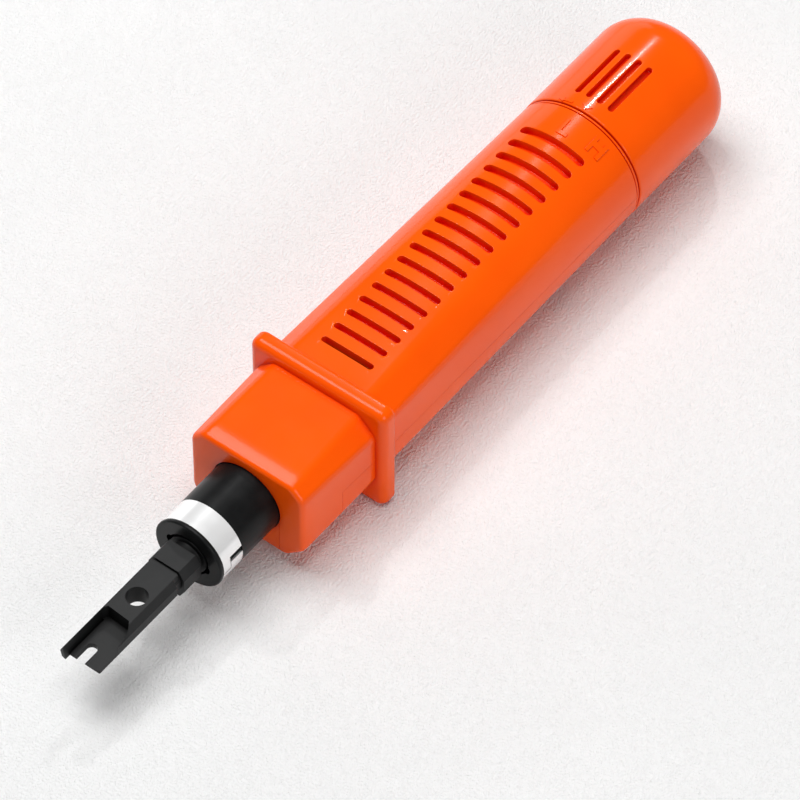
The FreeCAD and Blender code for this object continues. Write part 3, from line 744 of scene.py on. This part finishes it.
def paint_shade_in_recesses(tree, colour, painted_shade_colour, reach_mm=2.4):
    """Painted shade: colour that turns to a dark shade colour inside narrow grooves and openings, by ambient
    occlusion.
    """
    opening = tree.nodes.new("ShaderNodeAmbientOcclusion")
    opening.samples = 12
    opening.inputs["Distance"].default_value = reach_mm * MM
    share = tree.nodes.new("ShaderNodeMapRange")
    share.inputs["From Min"].default_value, share.inputs["From Max"].default_value = PAINTED_SHADE_RANGE
    tree.links.new(opening.outputs["AO"], share.inputs["Value"])
    mix = tree.nodes.new("ShaderNodeMixRGB")
    mix.inputs["Color1"].default_value = (*painted_shade_colour, 1.0)
    tree.links.new(share.outputs["Result"], mix.inputs["Fac"])
    tree.links.new(colour, mix.inputs["Color2"])
    return mix.outputs["Color"]


def plastic(name, deep, base, light, roughness, grain, painted_shade_colour):
    """Moulded plastic: slight colour drift, fine moulding grain and faint flow waves, with painted shade in
    narrow grooves.
    """
    material, tree, shader, place = node_tree(name)
    drift = noise(tree, place, 0.06, 2.0)
    colour = ramp(tree, drift, [(0.3, deep), (0.5, base), (0.7, light)])
    # painted shade: the colour turns to the shade colour deep in grooves and slots
    tree.links.new(paint_shade_in_recesses(tree, colour, painted_shade_colour), shader.inputs["Base Color"])
    patch = noise(tree, place, 0.35, 4.0, 0.6)
    tree.links.new(remap(tree, patch, roughness - 0.03, roughness + 0.05), shader.inputs["Roughness"])
    waves = bump(tree, noise(tree, place, 0.12, 1.0, 0.4, (0.4, 1, 1)), 0.05)
    fine = bump(tree, noise(tree, place, 9.0, 2.0), grain, waves)
    tree.links.new(fine, shader.inputs["Normal"])
    shader.inputs["IOR"].default_value = 1.5
    return material, shader


def metal(name, deep, light, roughness, scratch, along=(0.05, 1, 1), polish=1.0, shine=0.5):
    """Metal with a directional finish, a little staining and painted shade in recesses."""
    material, tree, shader, place = node_tree(name)
    stain = noise(tree, place, 0.25, 4.0, 0.6)
    colour = ramp(tree, stain, [(0.3, deep), (0.7, light)])
    # painted shade colour for recesses, 12 % of the darker tone
    painted_shade_colour = [channel * 0.12 for channel in deep]
    tree.links.new(paint_shade_in_recesses(tree, colour, painted_shade_colour, 4.0), shader.inputs["Base Color"])
    shader.inputs["Specular IOR Level"].default_value = shine
    shader.inputs["Metallic"].default_value = polish
    tree.links.new(remap(tree, stain, roughness - 0.05, roughness + 0.07), shader.inputs["Roughness"])
    lines = noise(tree, place, 14.0, 3.0, 0.6, along)
    tree.links.new(bump(tree, lines, scratch), shader.inputs["Normal"])
    return material


# the last colour is painted shade, deep red inside the grip slots
orange, orange_shader = plastic(
    "orange_plastic", (0.95, 0.09, 0.0006), (0.98, 0.098, 0.0008), (1.0, 0.106, 0.001), 0.19, 0.001,
    (0.75, 0.007, 0.0004))
orange_shader.inputs["Specular IOR Level"].default_value = 0.15
orange_shader.inputs["Coat Weight"].default_value = 0.12
orange_shader.inputs["Coat Roughness"].default_value = 0.035
black_steel = metal("black_oxide", (0.006, 0.0063, 0.0066), (0.01, 0.0103, 0.0106), 0.3, 0.002,
                    polish=0.0, shine=0.14)
blade_steel = metal("blade_oxide", (0.01, 0.0103, 0.0106), (0.016, 0.0163, 0.0166), 0.5, 0.003,
                    polish=0.0, shine=0.24)
chrome = metal("band_chrome", (0.94, 0.94, 0.94), (0.98, 0.98, 0.98), 0.2, 0.001, (1, 0.1, 0.1),
               polish=0.35)
machined = metal("machined_steel", (0.42, 0.42, 0.43), (0.55, 0.55, 0.56), 0.3, 0.002, (3, 0.2, 0.2))
spring_steel = metal("spring_steel", (0.30, 0.29, 0.28), (0.42, 0.41, 0.40), 0.34, 0.002)
zinc = metal("zinc_steel", (0.55, 0.56, 0.58), (0.68, 0.69, 0.70), 0.34, 0.003, (1, 1, 1))
brass = metal("bearing_brass", (0.55, 0.38, 0.14), (0.68, 0.48, 0.2), 0.32, 0.002, (3, 0.2, 0.2))
aluminium = metal("tube_aluminium", (0.62, 0.63, 0.64), (0.74, 0.75, 0.76), 0.36, 0.002)
# the last colour is painted shade in recesses
acetal = plastic("inner_acetal", (0.018, 0.018, 0.02), (0.026, 0.026, 0.028), (0.036, 0.036, 0.038),
                 0.42, 0.006, (0.01, 0.01, 0.01))[0]

pieces = (
    (upper, "upper_shell", "housing", "handle_plastic", orange),
    (lower, "lower_shell", "housing", "handle_plastic", orange),
    (guard, "hand_guard", "housing", "handle_plastic", orange),
    (seam, "seam_ring", "housing", "handle_plastic", orange),
    (cap, "adjuster_cap", "dial", "handle_plastic", orange),
    (band, "retaining_band", "chuck", "band_chrome", chrome),
    (rim, "rim_plate", "chuck", "black_steel", black_steel),
    (blade, "blade", "blade", "blade_steel", blade_steel),
    (collar, "collar", "chuck", "black_steel", black_steel),
)
for piece, node, body, slot, material in pieces:
    finished(piece, node, body, slot, material)

# springs: copies of their CAD coils in spring steel
PRESS_TRAVEL = 8.0 * MM
LATCH_TRAVEL = 1.6 * MM
springs = (
    ("main_spring", "housing", "press", 0, PRESS_TRAVEL),
    ("return_spring", "housing", "press", 0, PRESS_TRAVEL),
    ("latch_spring", "hammer", "latch_trip", 1, LATCH_TRAVEL),
)
for node, body, joint, along, travel in springs:
    near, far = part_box(node)
    coil = shade(cad_copy(node, node + "_coil"))
    finished(coil, node, body, "spring_steel", spring_steel)
    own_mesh(coil)

replaced = {node for _, node, _, _, _ in pieces} | {spring[0] for spring in springs}
slot_materials = {
    "handle_plastic": orange, "black_steel": black_steel, "blade_steel": blade_steel, "band_chrome": chrome,
    "machined_steel": machined, "spring_steel": spring_steel, "zinc_steel": zinc, "bearing_brass": brass,
    "tube_aluminium": aluminium, "inner_plastic": acetal,
}
for node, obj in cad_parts.items():
    if node not in replaced:
        for place in obj.material_slots:
            place.material = slot_materials[place.material.name.split(".")[0]]

# ----------------------------------------------------------------------------- stage
FLOOR_TILT = math.atan2(0.8, 73.9)   # rise from the underside of the cap to that of the guard
FLOOR_SIZE = 1.6
FLOOR_GAP = 0.02 * MM


def floor():
    """Large pale sheet under the tool, tilted to touch the cap and the guard."""
    bpy.ops.mesh.primitive_grid_add(x_subdivisions=4, y_subdivisions=4, size=FLOOR_SIZE)
    sheet = bpy.context.object
    sheet.name = "paper_floor"
    sheet.location = (BODY_REAR_X, 0, -FLOOR_GAP)
    sheet.rotation_euler = (0, -FLOOR_TILT, 0)
    return sheet


ground = floor()
material, tree, shader, place = node_tree("pale_paper")
grain = noise(tree, place, 2.1, 3.0, 0.55)
broad = noise(tree, place, 0.02, 3.0)
paper_tone = ramp(tree, broad, [(0.3, (0.91, 0.91, 0.91)), (0.7, (0.94, 0.94, 0.94))])
tree.links.new(paper_tone, shader.inputs["Base Color"])
shader.inputs["Roughness"].default_value = 0.7
tree.links.new(bump(tree, grain, 0.6), shader.inputs["Normal"])
ground.data.materials.append(material)


def area_light(name, direction, distance, size, watts, target=(0, 0, AXIS_Z)):
    """Soft light that faces the tool from a direction."""
    data = bpy.data.lights.new(name, "AREA")
    data.shape = "RECTANGLE"
    data.size, data.size_y = size
    data.energy = watts
    lamp = bpy.data.objects.new(name, data)
    lamp.location = Vector(target) + Vector(direction).normalized() * distance
    lamp.rotation_euler = (Vector(target) - lamp.location).to_track_quat("-Z", "Y").to_euler()
    bpy.context.scene.collection.objects.link(lamp)


# camera: beyond the blade end, looking down on the slots
CAMERA_BACK = Vector((0.48871, 0.37855, 0.78604))
CAMERA_TARGET = Vector((0.0072, 0.0081, 0.0135))
CAMERA_DISTANCE = 1.0977
CAMERA_LENS = 282.9

camera_data = bpy.data.cameras.new("camera")
camera_data.lens = CAMERA_LENS
camera_data.sensor_width = 36.0
camera_data.clip_start = 0.01
camera = bpy.data.objects.new("camera", camera_data)
camera.location = CAMERA_TARGET + CAMERA_BACK * CAMERA_DISTANCE
camera.rotation_euler = CAMERA_BACK.to_track_quat("Z", "Y").to_euler()
bpy.context.scene.collection.objects.link(camera)
bpy.context.scene.camera = camera

# a small high light beyond the cap for the streak on it, and soft light all round
STREAK_DIRECTION = (-0.535, -0.337, 0.775)
CAP_TOP = (CAP_FRONT_X, 0, 2 * AXIS_Z)
area_light("streak", STREAK_DIRECTION, 0.8, (0.045, 0.045), 0.9, target=CAP_TOP)
area_light("main_softbox", (0.0, -0.34, 0.94), 0.9, (0.46, 0.46), 5.1)
area_light("overhead", (-0.02, 0.1, 1.0), 0.9, (0.4, 0.4), 2.8)
area_light("right_softbox", (0.25, 0.85, 0.45), 0.9, (0.5, 0.4), 2.5)
area_light("left_card", (-0.45, -0.85, 0.22), 0.8, (0.9, 0.32), 1.0)

world = bpy.data.worlds.new("studio")
world.use_nodes = True
world.node_tree.nodes["Background"].inputs["Color"].default_value = (1, 1, 1, 1)
world.node_tree.nodes["Background"].inputs["Strength"].default_value = 0.1
bpy.context.scene.world = world
bpy.context.scene.view_settings.view_transform = "Standard"
